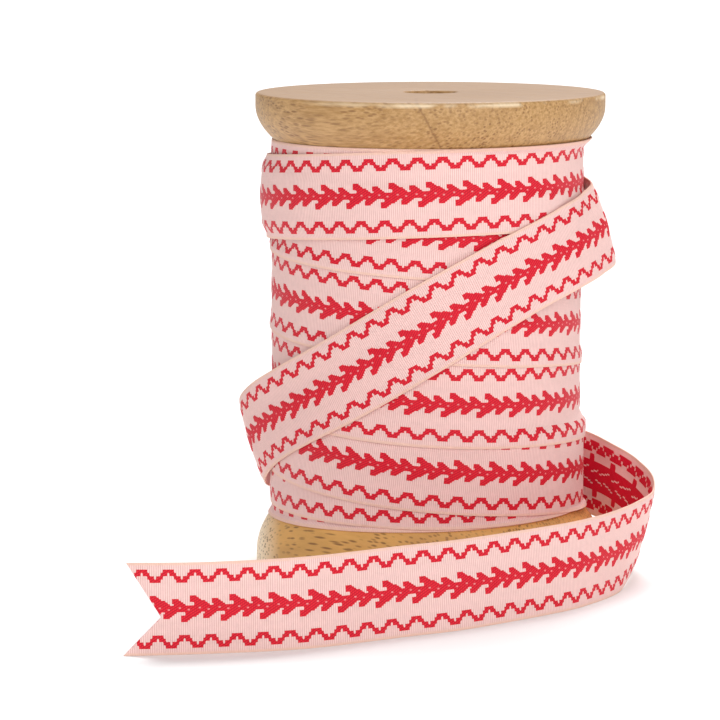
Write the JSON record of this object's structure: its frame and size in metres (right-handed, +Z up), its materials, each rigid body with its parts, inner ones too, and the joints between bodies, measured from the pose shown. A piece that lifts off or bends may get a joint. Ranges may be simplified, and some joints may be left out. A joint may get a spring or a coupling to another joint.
{
  "type": "woven ribbon wound on a wooden spool",
  "caption": "Narrow woven ribbon wound on a turned wooden spool, its last turn crossing the others and running off into a tail that stands on edge and ends in a swallowtail cut.",
  "frame": {"origin": "middle of the part's footprint box, on the surface that the spool and the tail's lower edge stand on", "axes": "+Z up along the spool's axis, +Y from the cut end of the tail towards the spool, +X to the right seen from the tail's side"},
  "size_m": [0.0972, 0.1248, 0.091],
  "materials": {
    "wood": "fine sanded, thin clear wax",
    "ribbon_winding": "ribbed pink ground with raised red floats",
    "ribbon_tail": "ribbed pink ground with raised red floats"
  },
  "bodies": {
    "root": {"spool": "wood", "ribbon_wound": "ribbon_winding", "ribbon_end": "ribbon_tail"}
  },
  "joints": []
}
